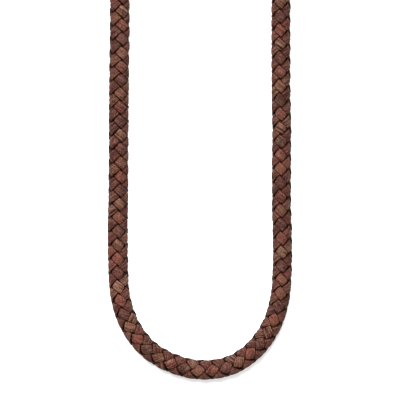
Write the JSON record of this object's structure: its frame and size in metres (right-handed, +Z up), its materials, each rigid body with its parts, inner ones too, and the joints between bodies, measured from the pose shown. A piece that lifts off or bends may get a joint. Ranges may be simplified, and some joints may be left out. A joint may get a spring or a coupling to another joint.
{
  "type": "leather cord necklace",
  "caption": "Closed loop of round braided leather cord, joined behind the neck by a plain metal barrel clasp; worn on its own or with a pendant.",
  "frame": {"origin": "middle of the necklace's outline, on the surface that it lies on", "axes": "+Z up from that surface, +Y from the bend at the front of the neck towards the clasp, +X across the loop"},
  "size_m": [0.0614, 0.2232, 0.0084],
  "materials": {
    "leather": "red-brown vegetable-tanned leather, satin, worn lighter on the crowns of the strips and near black between them",
    "steel": "plain stainless steel, finely brushed round the barrel"
  },
  "bodies": {
    "root": {"braided_cord": "leather", "clasp": "steel"}
  },
  "joints": []
}
